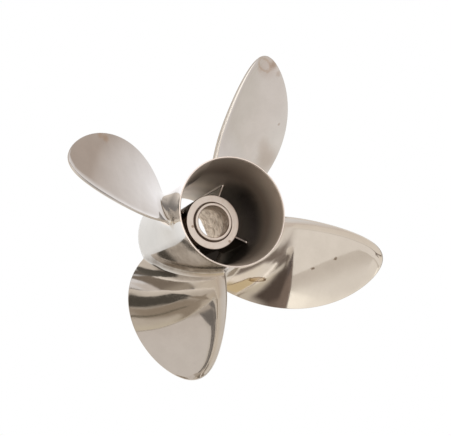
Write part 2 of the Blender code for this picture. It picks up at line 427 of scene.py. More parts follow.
def socket_outline(width, corner, height):
    """A square with round corners, one point for each turned step, anticlockwise seen from aft."""
    points = []
    flat = width / 2.0 - corner
    centre = Vector((flat, flat))
    for i in range(ROUND_STEPS):
        angle = math.tau * i / ROUND_STEPS
        quarter = math.floor(angle / (math.pi / 2.0)) * math.pi / 2.0
        c, s = math.cos(angle - quarter), math.sin(angle - quarter)
        along = centre.dot(Vector((c, s)))
        reach = along + math.sqrt(max(0.0, along * along - centre.length_squared + corner ** 2))
        if reach * s < flat:
            reach = (width / 2.0) / c
        elif reach * c < flat:
            reach = (width / 2.0) / s
        points.append(polar(reach, angle, height))
    return points


def socket_rings(work, back, index):
    """The socket's walls, which narrow aft and carry the casting's grain."""
    rings = []
    for row in range(SOCKET_ROWS + 1):
        share = row / SOCKET_ROWS
        height = HUB_FRONT + SOCKET_BEVEL + (back - HUB_FRONT - SOCKET_BEVEL) * share
        width = SOCKET_FRONT_WIDTH + (SOCKET_BACK_WIDTH - SOCKET_FRONT_WIDTH) * share
        corner = SOCKET_FRONT_ROUND + (SOCKET_BACK_ROUND - SOCKET_FRONT_ROUND) * share
        ring = []
        for point in socket_outline(width, corner, height):
            grain = noise.fractal(point * GRAIN_SCALE, 1.0, 2.1, 2) * GRAIN_DEPTH
            outwards = Vector((point.x, point.y, 0.0)).normalized()
            ring.append(work.verts.new(point + outwards * grain))
        rings.append((ring, index))
    return rings


def make_hub(satin, turned, rough):
    """One closed skin: ring face, outer wall, front face, socket, shaft bore and the sleeve's seat."""
    wall, face, socket = range(3)
    seat = HUB_FACE - SEAT_DEPTH
    socket_back = seat - SEAT_THICKNESS
    groove = HUB_FACE - GROOVE_DEPTH
    arcs = corner_arcs([
        (GROOVE_RADIUS, HUB_FACE, face),
        (HUB_FACE_RADIUS, HUB_FACE, wall),
        (HUB_FRONT_RADIUS, HUB_FRONT, face),
        (FRONT_FACE_RADIUS, HUB_FRONT, face),
    ], CHAMFER, 4)
    outside = arcs[0] + arcs[1] + arcs[2] + arcs[3][:1]
    inside = [
        (SHAFT_RADIUS + SOCKET_BEVEL, socket_back, socket),
        (SHAFT_RADIUS, socket_back + SOCKET_BEVEL, socket),
        (SHAFT_RADIUS, seat, socket),
        (SLEEVE_RADIUS + SLEEVE_GAP, seat, wall),
        (SLEEVE_RADIUS + SLEEVE_GAP, groove, wall),
        (GROOVE_RADIUS, groove, wall),
    ]
    work = bmesh.new()
    rings = turned_rings(work, outside)
    rings += socket_rings(work, socket_back, socket)
    rings += turned_rings(work, inside)
    skin(work, rings)
    materials = [satin, turned, rough]
    finish_piece(work, "hub_casting", materials, ["inner_hub"], HUB_CREASE)


def make_sleeve(turned, rough):
    face, bore = range(2)
    seat = HUB_FACE - SEAT_DEPTH + SLEEVE_GAP
    arcs = corner_arcs([
        (SLEEVE_RADIUS, SLEEVE_FACE, face),
        (SLEEVE_RADIUS, seat, face),
        (SHAFT_RADIUS, seat, bore),
        (SHAFT_RADIUS, SLEEVE_FACE, face),
    ], SLEEVE_ROUND, 5)
    work = bmesh.new()
    skin(work, turned_rings(work, sum(arcs, [])))
    finish_piece(work, "sleeve_ring", [turned, rough], ["hub_sleeve"], HUB_CREASE)


def half_round(turns, base):
    """A round edge of a rib as (side, height, slope) points. It starts after this many half turns."""
    half = RIB_THICKNESS / 2.0
    points = []
    for step in range(RIB_END_STEPS + 1):
        angle = math.pi * (turns + step / RIB_END_STEPS)
        points.append((half * math.cos(angle), base + half * math.sin(angle), math.sin(angle)))
    return points


def rib_outline(front, aft):
    """The rib's cut: the round aft edge, down one side, the round front edge and up the other side."""
    half = RIB_THICKNESS / 2.0
    low = front + half
    high = aft - half
    down = heights(high - RIB_ROW_GAP, low + RIB_ROW_GAP, RIB_ROWS)
    up = heights(low + RIB_ROW_GAP, high - RIB_ROW_GAP, RIB_ROWS)
    first = half_round(0.0, high) + [(-half, z, 0.0) for z in down]
    return first + half_round(1.0, low) + [(half, z, 0.0) for z in up]


def rib_stations(span):
    """Shares of the way from hub to barrel, each with the swell of the fillet there."""
    fillet = []
    for step in range(RIB_FILLET_STEPS + 1):
        angle = math.pi / 2 * step / RIB_FILLET_STEPS
        share = RIB_FILLET * (1.0 - math.cos(angle)) / span
        fillet.append((share, RIB_FILLET * (1.0 - math.sin(angle))))
    middle = [(share, 0.0) for share in RIB_MIDDLE]
    return fillet + middle + [(1.0 - share, swell) for share, swell in reversed(fillet)]


def rib_point(share, side, height):
    inner = hub_outer(height) - RIB_SINK
    outer = barrel_inner(height) + RIB_SINK
    radius = inner + (outer - inner) * share
    return Vector((math.sqrt(radius ** 2 - side ** 2), side, height))


def make_rib(number, satin, painted_highlight):
    """A plate from hub to barrel with a fillet along both walls. Between them its aft edge takes the paler
    material, a painted highlight.
    """
    aft = BARREL_LENGTH - BORE_FLARE_LENGTH
    half = RIB_THICKNESS / 2.0
    turn = Matrix.Rotation(math.radians(RIB_TURN + 360.0 / RIBS * number), 3, "Z")
    outline = rib_outline(HUB_FRONT + RIB_SETBACK, aft)
    stations = rib_stations(barrel_inner(aft) - hub_outer(aft))
    work = bmesh.new()
    rows = []
    for share, swell in stations:
        row = []
        for side, height, slope in outline:
            wide = side + swell * (side / half)
            tall = height + swell * max(0.0, slope) * RIB_END_SWELL
            row.append(work.verts.new(turn @ rib_point(share, wide, tall)))
        rows.append(row)
    for (share, _), lower, upper in zip(stations, rows, rows[1:]):
        between = stations[3][0] < share < stations[-4][0]
        for i, face in enumerate(bridge(work, lower, upper)):
            face.material_index = 1 if between and i < RIB_END_STEPS else 0
    work.faces.new(reversed(rows[0]))
    work.faces.new(rows[-1])
    node = f"rib_{number + 1}"
    finish_piece(work, f"{node}_web", [satin, painted_highlight], [node], PLATE_CREASE)


# Shader nodes

def add_node(tree, kind, inputs=None, **settings):
    """A node with its settings, and inputs that are numbers, colours or other nodes' sockets."""
    item = tree.nodes.new(kind)
    for name, value in settings.items():
        setattr(item, name, value)
    for name, value in (inputs or {}).items():
        if isinstance(value, bpy.types.NodeSocket):
            tree.links.new(value, item.inputs[name])
        else:
            item.inputs[name].default_value = value
    return item


def calc(tree, operation, first, second=0.0):
    return add_node(tree, "ShaderNodeMath", {0: first, 1: second}, operation=operation).outputs[0]


def weighted(tree, x, x_share, y, y_share):
    return calc(tree, "ADD", calc(tree, "MULTIPLY", x, x_share), calc(tree, "MULTIPLY", y, y_share))


def ramp(tree, value, low, high, start=0.0, end=1.0):
    """A value that goes smoothly from start to end while the input goes from low to high."""
    inputs = {"Value": value, "From Min": low, "From Max": high, "To Min": start, "To Max": end}
    item = add_node(tree, "ShaderNodeMapRange", inputs, interpolation_type="SMOOTHSTEP")
    return item.outputs[0]


def fall(tree, value, low, high):
    """1 below low and 0 above high, with a smooth way between them."""
    return ramp(tree, value, low, high, 1.0, 0.0)


def within(tree, value, low, high, soft):
    """1 between low and high, fading out over the soft width on both sides."""
    return both(tree, ramp(tree, value, low - soft, low), fall(tree, value, high, high + soft))


def both(tree, *masks):
    result = masks[0]
    for mask in masks[1:]:
        result = calc(tree, "MULTIPLY", result, mask)
    return result


def either(tree, *masks):
    result = masks[0]
    for mask in masks[1:]:
        result = calc(tree, "MAXIMUM", result, mask)
    return result


def tone(red, green, blue):
    return (red, green, blue, 1.0)


def blend(tree, factor, first, second):
    inputs = {0: factor, 6: first, 7: second}
    return add_node(tree, "ShaderNodeMix", inputs, data_type="RGBA").outputs[2]


def painted(tree, colour, mask, paint):
    """A colour with another one in its place where the mask is 1."""
    return blend(tree, mask, colour, tone(*paint))


def stained(tree, colour, mask, shade):
    """A colour that is multiplied by a shade where the mask is 1."""
    inputs = {0: mask, 6: colour, 7: tone(*shade)}
    return add_node(tree, "ShaderNodeMix", inputs, data_type="RGBA", blend_type="MULTIPLY").outputs[2]


def tint(tree, factor, tones):
    """Colours at places from 0 to 1 along a factor."""
    item = add_node(tree, "ShaderNodeValToRGB", {0: factor})
    item.color_ramp.interpolation = "EASE"
    stops = item.color_ramp.elements
    while len(stops) < len(tones):
        stops.new(0.5)
    # Moving a stop can change the order of the stops, so all are moved before any gets its colour
    for stop, (place, _) in zip(stops, tones):
        stop.position = place
    for stop, (_, colour) in zip(stops, tones):
        stop.color = tone(*colour)
    return item.outputs[0]


def noise_map(tree, vector, scale, detail=2.0, roughness=0.5, distortion=0.0):
    inputs = {
        "Vector": vector,
        "Scale": scale,
        "Detail": detail,
        "Roughness": roughness,
        "Distortion": distortion,
    }
    return add_node(tree, "ShaderNodeTexNoise", inputs).outputs[0]


Spot = namedtuple("Spot", "place x y z reach")


def locate(tree):
    """The place on the object as a vector and as x, y and z, and its distance from the shaft's axis."""
    place = add_node(tree, "ShaderNodeTexCoord").outputs["Object"]
    x, y, z = add_node(tree, "ShaderNodeSeparateXYZ", {0: place}).outputs
    square = calc(tree, "ADD", calc(tree, "MULTIPLY", x, x), calc(tree, "MULTIPLY", y, y))
    return Spot(place, x, y, z, calc(tree, "SQRT", square))


def azimuth(tree, x, y):
    return calc(tree, "MULTIPLY", calc(tree, "ARCTAN2", y, x), 180.0 / math.pi)


def around(tree, angle, tones):
    """Tones that are listed by azimuth from -180 to 180 degrees."""
    turn = calc(tree, "ADD", calc(tree, "DIVIDE", angle, 360.0), 0.5)
    return tint(tree, turn, [((degrees + 180.0) / 360.0, colour) for degrees, colour in tones])


def flattened(tree, place):
    inputs = {0: place, 1: (1.0, 1.0, 0.0)}
    return add_node(tree, "ShaderNodeVectorMath", inputs, operation="MULTIPLY").outputs[0]


def distance_to(tree, place, spot):
    inputs = {0: place, 1: spot}
    return add_node(tree, "ShaderNodeVectorMath", inputs, operation="DISTANCE").outputs["Value"]


def at_radius(tree, place, radius, degrees):
    """Distance in plan from a spot at this radius and azimuth."""
    spot = polar(radius, math.radians(degrees), 0.0)
    return distance_to(tree, flattened(tree, place), tuple(spot))


def oval(tree, place, radius, degrees, turn, halves):
    """Distance in plan from a spot, counted so that it is 1 on an oval with these half lengths."""
    inputs = {
        "Vector": place,
        "Location": tuple(polar(radius, math.radians(degrees), 0.0)),
        "Rotation": (0.0, 0.0, math.radians(turn)),
        "Scale": (*halves, 1.0),
    }
    local = add_node(tree, "ShaderNodeMapping", inputs, vector_type="TEXTURE").outputs[0]
    inputs = {0: flattened(tree, local)}
    return add_node(tree, "ShaderNodeVectorMath", inputs, operation="LENGTH").outputs["Value"]


def near(tree, place, x, y, size, soft):
    """1 close to a point on the floor and 0 far from it."""
    return fall(tree, distance_to(tree, place, (x, y, 0.0)), size, size + soft)


# Materials. Lengths are in metres and azimuths in degrees, with +X at 0 and +Y at 90.

# Stains on the polished faces, and two dark specks on a blade that are painted reflections: radius,
# azimuth, size, softness and shade
STAINS_AND_REFLECTED_SPECKS = [
    (0.186, 140.5, 0.0060, 0.0120, (0.92, 0.88, 0.86)),
    (0.190, 138.5, 0.0010, 0.0060, (0.74, 0.65, 0.58)),
    (0.186, 135.0, 0.0008, 0.0040, (0.86, 0.80, 0.76)),
    (0.178, 143.0, 0.0010, 0.0050, (0.94, 0.90, 0.87)),
    (0.119, 114.0, 0.0040, 0.0160, (0.80, 0.75, 0.71)),
    (0.123, 121.5, 0.0020, 0.0100, (0.92, 0.89, 0.87)),
    (0.150, 122.0, 0.0005, 0.0018, (0.76, 0.70, 0.66)),
    (0.158, -147.5, 0.0010, 0.0060, (0.93, 0.82, 0.72)),
    (0.165, -146.5, 0.0010, 0.0050, (0.94, 0.85, 0.77)),
    # These two dark specks are painted reflections, not stains
    (0.1305, 43.4, 0.0007, 0.0016, (0.40, 0.34, 0.29)),
    (0.1465, 50.0, 0.0007, 0.0016, (0.40, 0.34, 0.29)),
    (0.098, 29.2, 0.0004, 0.0016, (0.46, 0.38, 0.32)),
]

# Oval stains: radius, azimuth, turn in degrees, half lengths, shades of the rim and the middle
OVALS = [
    (0.184, 142.0, 142.0, (0.0058, 0.0100), (0.90, 0.84, 0.78), (1.0, 1.0, 1.0)),
    (0.092, 26.9, 60.0, (0.0072, 0.0026), (0.50, 0.42, 0.34), (0.74, 0.65, 0.54)),
]

# Punch dots on the hub's ring: radius and azimuth
PUNCH_DOTS = [(0.0258, -99.0), (0.0298, 19.5)]
DOT_RADIUS = 0.0010
DOT_EDGE = 0.0022

# Painted shade inside the barrel by share of its length, darkest deep inside, with a painted highlight
# just inside the aft rim: all round, and painted lighter on the side that light reaches
BORE_TONES = [
    (0.40, (0.22, 0.19, 0.16)),
    (0.64, (0.13, 0.11, 0.10)),
    (0.80, (0.28, 0.25, 0.22)),
    (0.995, (0.68, 0.62, 0.56)),
    (1.00, (0.34, 0.30, 0.27)),
]
LIT_BORE_TONES = [
    (0.12, (0.11, 0.105, 0.09)),
    (0.28, (0.22, 0.20, 0.17)),
    (0.48, (0.52, 0.47, 0.41)),
    (0.66, (0.56, 0.50, 0.45)),
    (0.80, (0.30, 0.26, 0.23)),
    (0.995, (0.48, 0.43, 0.38)),
    (1.00, (0.34, 0.30, 0.27)),
]


def new_material(name, colour, roughness):
    material = bpy.data.materials.new(name)
    material.use_nodes = True
    tree = material.node_tree
    shader = tree.nodes["Principled BSDF"]
    shader.inputs["Base Color"].default_value = tone(*colour)
    shader.inputs["Metallic"].default_value = 1.0
    shader.inputs["Roughness"].default_value = roughness
    return material, tree, shader


def dress(tree, shader, colour, height, strength, distance):
    """Gives the shader its colour, and a fine relief with its depth as a distance."""
    tree.links.new(colour, shader.inputs["Base Color"])
    inputs = {"Height": height, "Strength": strength, "Distance": distance}
    bump = add_node(tree, "ShaderNodeBump", inputs)
    tree.links.new(bump.outputs[0], shader.inputs["Normal"])


def make_polished():
    """Mirror-polished steel with faint waves, wiping marks and stains, and on one side of the barrel
    rougher and darkened in blotches as painted shade.
    """
    material, tree, shader = new_material("polished_steel", (0.56, 0.54, 0.51), 0.05)
    at = locate(tree)
    angle = azimuth(tree, at.x, at.y)
    cloud = noise_map(tree, at.place, 45.0, 3.0, 0.6)
    fine = noise_map(tree, at.place, 320.0, 3.0, 0.7)
    light, dark = tone(0.575, 0.555, 0.525), tone(0.545, 0.525, 0.495)
    colour = blend(tree, ramp(tree, cloud, 0.30, 0.70), dark, light)
    ragged = calc(tree, "MULTIPLY", calc(tree, "SUBTRACT", fine, 0.5), 0.004)
    for radius, degrees, size, soft, shade in STAINS_AND_REFLECTED_SPECKS:
        distance = calc(tree, "ADD", at_radius(tree, at.place, radius, degrees), ragged)
        colour = stained(tree, colour, fall(tree, distance, size, size + soft), shade)
    uneven = calc(tree, "MULTIPLY", ragged, 200.0)
    for radius, degrees, turn, halves, rim, middle in OVALS:
        distance = calc(tree, "ADD", oval(tree, at.place, radius, degrees, turn, halves), uneven)
        colour = stained(tree, colour, fall(tree, distance, 0.70, 0.95), middle)
        colour = stained(tree, colour, within(tree, distance, 0.88, 1.0, 0.24), rim)
    # Painted shade: one side of the barrel is darkened in blotches; it is made rougher there too
    side = both(tree, ramp(tree, angle, -90.0, -76.0), fall(tree, angle, -24.0, -8.0))
    barrel = fall(tree, at.reach, 0.060, 0.064)
    dull_and_shaded = both(tree, side, barrel, ramp(tree, cloud, 0.2, 0.45, 0.7, 1.0))
    blotches = noise_map(tree, at.place, 150.0, 2.0, 0.6, 0.6)
    dull_and_shaded = both(tree, dull_and_shaded, ramp(tree, blotches, 0.36, 0.60, 0.72, 1.0))
    colour = stained(tree, colour, dull_and_shaded, (0.52, 0.49, 0.465))
    rough = weighted(tree, ramp(tree, fine, 0.3, 0.75, 0.035, 0.085), 1.0, dull_and_shaded, 0.10)
    tree.links.new(rough, shader.inputs["Roughness"])
    dress(tree, shader, colour, noise_map(tree, at.place, 60.0, 1.0), 1.0, 0.00003)
    return material


def make_satin():
    """Blasted steel with painted shade by depth, painted light on one side, on a rib's face and on the
    hub's wall, painted shade in the groove and a spot of painted shade where a rib meets the hub.
    """
    material, tree, shader = new_material("satin_steel", (0.50, 0.45, 0.40), 0.55)
    at = locate(tree)
    angle = azimuth(tree, at.x, at.y)
    depth = calc(tree, "DIVIDE", at.z, BARREL_LENGTH)
    # Painted light: the side of the barrel's inside that the light reaches gets the paler tones
    side = both(tree, ramp(tree, angle, 105.0, 135.0), ramp(tree, at.reach, 0.0330, 0.0340))
    tones = blend(tree, side, tint(tree, depth, BORE_TONES), tint(tree, depth, LIT_BORE_TONES))
    # Painted light: the lit face of the rib on that side is painted pale
    web = both(tree, side, within(tree, at.reach, 0.0340, 0.0485, 0.0008))
    tones = painted(tree, tones, web, (0.92, 0.90, 0.84))
    # Painted shade in the groove round the sleeve
    groove = both(tree, fall(tree, at.reach, 0.0240, 0.0245), ramp(tree, depth, 0.55, 0.57))
    tones = painted(tree, tones, groove, (0.24, 0.19, 0.16))
    # Painted light on the shaded side of the hub's outer wall
    lit_hub_side = within(tree, at.reach, 0.0275, 0.0330, 0.0010)
    lit_hub_side = both(tree, lit_hub_side, within(tree, angle, -118.0, -60.0, 8.0))
    tones = painted(tree, tones, lit_hub_side, (0.80, 0.60, 0.46))
    # Painted shade in the corner where a rib meets the hub
    corner_shade = fall(tree, at_radius(tree, at.place, 0.0345, -134.0), 0.0030, 0.0050)
    tones = stained(tree, tones, corner_shade, (0.15, 0.12, 0.10))
    grain = noise_map(tree, at.place, 900.0, 2.0, 0.6)
    tones = stained(tree, tones, ramp(tree, grain, 0.35, 0.65, 0.0, 0.25), (0.8, 0.78, 0.76))
    dress(tree, shader, tones, grain, 0.6, 0.0002)
    return material


def make_turned(name, colour, roughness):
    """Steel faced on a lathe: fine rings about the axis, painted shade round the bore's edge, dots and a
    spot of painted shade on a rib's edge by the hub.
    """
    material, tree, shader = new_material(name, colour, roughness)
    at = locate(tree)
    along = add_node(tree, "ShaderNodeCombineXYZ", {0: at.reach, 1: at.z}).outputs[0]
    rings = noise_map(tree, along, 2600.0, 2.0, 0.6)
    cloud = noise_map(tree, at.place, 160.0, 2.0)
    shade = stained(tree, tone(*colour), ramp(tree, rings, 0.35, 0.65, 0.0, 0.5), (0.90, 0.88, 0.87))
    shade = stained(tree, shade, ramp(tree, cloud, 0.45, 0.70, 0.0, 0.6), (0.92, 0.88, 0.85))
    # Painted shade round the edge of the shaft bore
    lip = fall(tree, at.reach, SHAFT_RADIUS + 0.0003, SHAFT_RADIUS + 0.0009)
    shade = stained(tree, shade, lip, (0.50, 0.42, 0.37))
    for radius, degrees in PUNCH_DOTS:
        dot = fall(tree, at_radius(tree, at.place, radius, degrees), DOT_RADIUS, DOT_EDGE)
        shade = stained(tree, shade, dot, (0.52, 0.44, 0.39))
    # Painted shade on a rib's aft edge next to the hub
    corner_shade = fall(tree, at_radius(tree, at.place, 0.0375, -135.0), 0.0035, 0.0048)
    shade = stained(tree, shade, corner_shade, (0.18, 0.14, 0.12))
    dress(tree, shader, shade, rings, 0.5, 0.0001)
    return material


def make_cast():
    """The wrinkled skin of a sand casting, as it came out of the mould, with painted shade in the shaft
    bore.
    """
    material, tree, shader = new_material("cast_steel", (0.42, 0.37, 0.31), 0.42)
    at = locate(tree)
    wrinkles = noise_map(tree, at.place, 110.0, 2.0, 0.50, 1.6)
    hollows = ramp(tree, wrinkles, 0.34, 0.58)
    colour = blend(tree, hollows, tone(0.47, 0.39, 0.32), tone(0.78, 0.69, 0.60))
    # Painted shade inside the shaft bore
    bore = fall(tree, at.reach, SHAFT_RADIUS + 0.0001, SHAFT_RADIUS + 0.0006)
    colour = stained(tree, colour, bore, (0.62, 0.58, 0.55))
    dress(tree, shader, colour, wrinkles, 1.0, 0.0024)
    return material


# Camera, floor and light

CAMERA_PLACE = (0.05651, -0.57200, 1.48414)
CAMERA_RIGHT = (0.38576, 0.85335, 0.35069)
CAMERA_UP = (-0.92185, 0.34121, 0.18377)
FOCAL = 1281.7
PHOTO_WIDTH = 451
SENSOR_WIDTH = 36.0
FLOOR_HALF = 6.0
FLOOR_DROP = 0.0005
FLOOR_NEAR = 0.08            # distance at which the floor's tones start to change
FLOOR_SPREAD = 2.6           # how far they change, as a natural logarithm

# Ray depths from which the floor and the world show their tones for reflections of reflections
DEEP_FLOOR = 1.5
DEEP_SKY = 2.5

# Tones of the surroundings by azimuth: near the horizon and far across the floor, and higher up
LOW_TONES = [
    (-180, (0.80, 0.72, 0.64)),
    (-160, (0.87, 0.75, 0.62)),
    (-138, (0.78, 0.64, 0.52)),
    (-116, (0.84, 0.70, 0.52)),
    (-105, (0.84, 0.68, 0.45)),
    (-97, (1.25, 1.10, 0.95)),
    (-84, (1.15, 1.02, 0.87)),
    (-60, (1.13, 1.02, 0.90)),
    (-44, (1.08, 0.96, 0.84)),
    (-34, (0.97, 0.84, 0.74)),
    (-8, (1.09, 1.02, 0.98)),
    (14, (1.07, 1.02, 0.98)),
    (30, (1.02, 0.95, 0.91)),
    (48, (0.92, 0.86, 0.81)),
    (75, (0.80, 0.72, 0.67)),
    (100, (0.65, 0.55, 0.49)),
    (125, (0.72, 0.62, 0.56)),
    (150, (0.84, 0.75, 0.69)),
    (175, (0.88, 0.79, 0.72)),
]
HIGH_TONES = [
    (-180, (0.91, 0.83, 0.77)),
    (-130, (1.15, 1.06, 0.96)),
    (-104, (1.40, 1.29, 1.14)),
    (-88, (1.18, 1.08, 0.97)),
    (-60, (1.17, 1.07, 0.97)),
    (14, (1.10, 1.05, 1.02)),
    (30, (1.03, 0.96, 0.93)),
    (60, (0.95, 0.89, 0.85)),
    (150, (0.91, 0.83, 0.77)),
]

# Tones far across the floor in reflections of reflections
DEEP_TONES = [
    (-180, (1.40, 1.25, 1.10)),
    (-150, (1.50, 1.35, 1.20)),
    (-120, (1.15, 1.00, 0.86)),
    (-90, (1.30, 1.12, 0.92)),
    (-62, (1.50, 1.35, 1.08)),
    (-42, (1.45, 1.28, 1.10)),
    (50, (1.40, 1.30, 1.20)),
    (62, (2.50, 2.42, 2.34)),
    (86, (2.50, 2.42, 2.34)),
    (98, (1.20, 1.10, 1.02)),
    (170, (1.35, 1.24, 1.16)),
]


def make_camera():
    data = bpy.data.cameras.new("camera")
    data.sensor_width = SENSOR_WIDTH
    data.lens = SENSOR_WIDTH * FOCAL / PHOTO_WIDTH
    data.clip_end = 50.0
    camera = bpy.data.objects.new("camera", data)
    right = Vector(CAMERA_RIGHT).normalized()
    up = Vector(CAMERA_UP)
    up = (up - right * up.dot(right)).normalized()
    turn = Matrix((right, up, right.cross(up))).transposed().to_quaternion()
    camera.matrix_world = Matrix.LocRotScale(Vector(CAMERA_PLACE), turn, None)
    bpy.context.scene.collection.objects.link(camera)
    bpy.context.scene.camera = camera


def farness(tree, reach):
    """0 close to the object and 1 far across the floor."""
    steps = calc(tree, "LOGARITHM", calc(tree, "DIVIDE", reach, FLOOR_NEAR), math.e)
    return add_node(tree, "ShaderNodeClamp", {0: calc(tree, "DIVIDE", steps, FLOOR_SPREAD)}).outputs[0]


def reflected_floor(tree, at, angle, far):
    """The floor in first reflections: pale close by, with a dark streak towards -X and two dark spots."""
    close = blend(tree, ramp(tree, at.y, -0.04, 0.04), tone(1.10, 1.09, 1.08), tone(1.17, 1.14, 1.16))
    side = both(tree, ramp(tree, angle, 156.0, 165.0), ramp(tree, at.reach, 0.15, 0.22))
    tones = blend(tree, either(tree, far, side), close, around(tree, angle, LOW_TONES))
    streak = either(tree, ramp(tree, angle, 169.5, 172.5), fall(tree, angle, -168.0, -164.0))
    streak = both(tree, streak, ramp(tree, at.reach, 0.09, 0.11))
    dark = blend(tree, ramp(tree, at.reach, 0.30, 0.60), tone(0.30, 0.24, 0.19), tone(0.48, 0.40, 0.32))
    tones = blend(tree, streak, tones, dark)
    tones = painted(tree, tones, near(tree, at.place, -0.088, -0.038, 0.026, 0.012), (0.20, 0.17, 0.14))
    patch = both(tree, within(tree, angle, -84.0, -70.0, 4.0), within(tree, at.reach, 0.40, 0.70, 0.10))
    return painted(tree, tones, patch, (0.50, 0.41, 0.32))


def deep_bars(tree, at, tones):
    """A dark bar with a wavy side, a thin line next to it and a tan strip beyond."""
    sway = noise_map(tree, at.place, 22.0, 1.0)
    sway = weighted(tree, sway, 0.040, 1.0, 0.015)
    across = calc(tree, "ADD", weighted(tree, at.x, 0.8, at.y, -0.33), sway)
    along = weighted(tree, at.x, 0.6, at.y, 0.8)
    tan = fall(tree, weighted(tree, at.x, 1.0, at.y, 1.0), -0.215, -0.190)
    tan = both(tree, tan, ramp(tree, across, 0.012, 0.03), within(tree, at.reach, 0.14, 0.36, 0.06))
    tones = painted(tree, tones, tan, (0.76, 0.63, 0.51))
    line = both(tree, within(tree, at.x, -0.033, -0.027, 0.006), within(tree, at.y, -0.23, -0.16, 0.02))
    tones = painted(tree, tones, line, (0.42, 0.36, 0.28))
    bar = both(tree, within(tree, across, -0.048, 0.010, 0.012), within(tree, along, -0.235, -0.06, 0.04))
    return painted(tree, tones, bar, (0.20, 0.18, 0.155))


def dark_sector(tree, angle, reach):
    """A wide sector of the floor whose two sides bend with the distance."""
    bend = both(tree, ramp(tree, reach, 0.50, 1.30), fall(tree, reach, 1.40, 1.80))
    start = calc(tree, "ADD", calc(tree, "MULTIPLY", bend, 15.0), -54.0)
    end = calc(tree, "ADD", calc(tree, "MULTIPLY", bend, 7.0), -37.0)
    beyond = calc(tree, "SUBTRACT", angle, ramp(tree, reach, 0.38, 0.60, 10.0, 27.0))
    side = both(tree, ramp(tree, angle, start, end), fall(tree, beyond, 0.0, 2.5))
    return both(tree, side, ramp(tree, reach, 0.22, 0.27))


def deep_floor(tree, at, angle, far):
    """The floor in reflections of reflections, with the dark shapes of the studio's far side."""
    tones = blend(tree, far, tone(1.42, 1.30, 1.20), around(tree, angle, DEEP_TONES))
    tones = deep_bars(tree, at, tones)
    root = both(tree, within(tree, angle, 148.0, 179.0, 6.0), ramp(tree, at.reach, 0.055, 0.165))
    root = both(tree, root, fall(tree, at.reach, 0.21, 0.27))
    tones = painted(tree, tones, root, (0.46, 0.43, 0.42))
    glare = both(tree, within(tree, angle, -72.0, -42.0, 6.0), ramp(tree, at.reach, 0.55, 1.05))
    tones = painted(tree, tones, glare, (2.00, 1.86, 1.70))
    edge = both(tree, ramp(tree, angle, -53.0, -48.0), ramp(tree, at.reach, 1.40, 1.75))
    tones = painted(tree, tones, edge, (0.43, 0.35, 0.30))
    dark = blend(tree, ramp(tree, angle, -20.0, -4.0), tone(0.23, 0.175, 0.15), tone(0.54, 0.42, 0.36))
    return blend(tree, dark_sector(tree, angle, at.reach), tones, dark)


def floor_in_barrel(tree, at, is_camera):
    """The floor inside the barrel: to the camera half of it white and half in painted shadow, and a few
    lit parts to reflections.
    """
    unlit = tone(0.02, 0.016, 0.013)
    spot = near(tree, at.place, -0.040, 0.018, 0.012, 0.020)
    lit = blend(tree, spot, unlit, tone(3.6, 3.2, 2.9))
    lit = painted(tree, lit, fall(tree, at.reach, 0.027, 0.030), (0.9, 0.84, 0.76))
    # Painted shadow: the camera sees the floor under the barrel dark, except on its -X side
    direct = blend(tree, fall(tree, at.x, 0.006, 0.018), unlit, tone(1.0, 1.0, 1.0))
    return blend(tree, is_camera, lit, direct)


def make_floor():
    """A floor that only gives light. Outside the barrel the camera sees it white."""
    size = FLOOR_HALF
    corners = [(-size, -size, 0), (size, -size, 0), (size, size, 0), (-size, size, 0)]
    mesh = bpy.data.meshes.new("floor")
    mesh.from_pydata(corners, [], [(0, 1, 2, 3)])
    floor = bpy.data.objects.new("floor", mesh)
    floor.location.z = -FLOOR_DROP
    bpy.context.scene.collection.objects.link(floor)
    material = bpy.data.materials.new("floor")
    material.use_nodes = True
    tree = material.node_tree
    tree.nodes.clear()
    output = add_node(tree, "ShaderNodeOutputMaterial")
    at = locate(tree)
    angle = azimuth(tree, at.x, at.y)
    far = farness(tree, at.reach)
    path = add_node(tree, "ShaderNodeLightPath")
    is_camera = path.outputs["Is Camera Ray"]
    deep = calc(tree, "GREATER_THAN", path.outputs["Ray Depth"], DEEP_FLOOR)
    tones = blend(tree, deep, reflected_floor(tree, at, angle, far), deep_floor(tree, at, angle, far))
    inside = calc(tree, "LESS_THAN", at.reach, BORE_FRONT_RADIUS + 0.002)
    tones = blend(tree, inside, tones, floor_in_barrel(tree, at, is_camera))
    glow = add_node(tree, "ShaderNodeEmission", {"Color": tones, "Strength": 1.0})
    clear = add_node(tree, "ShaderNodeBsdfTransparent")
    fade = ramp(tree, at.reach, 0.7, 1.6)
    studio = add_node(tree, "ShaderNodeMixShader", {0: fade, 1: glow.outputs[0], 2: clear.outputs[0]})
    seen = calc(tree, "MULTIPLY", is_camera, calc(tree, "SUBTRACT", 1.0, inside))
    white = add_node(tree, "ShaderNodeEmission", {"Color": tone(1, 1, 1), "Strength": 1.0})
    mix = add_node(tree, "ShaderNodeMixShader", {0: seen, 1: studio.outputs[0], 2: white.outputs[0]})
    tree.links.new(mix.outputs[0], output.inputs["Surface"])
    mesh.materials.append(material)


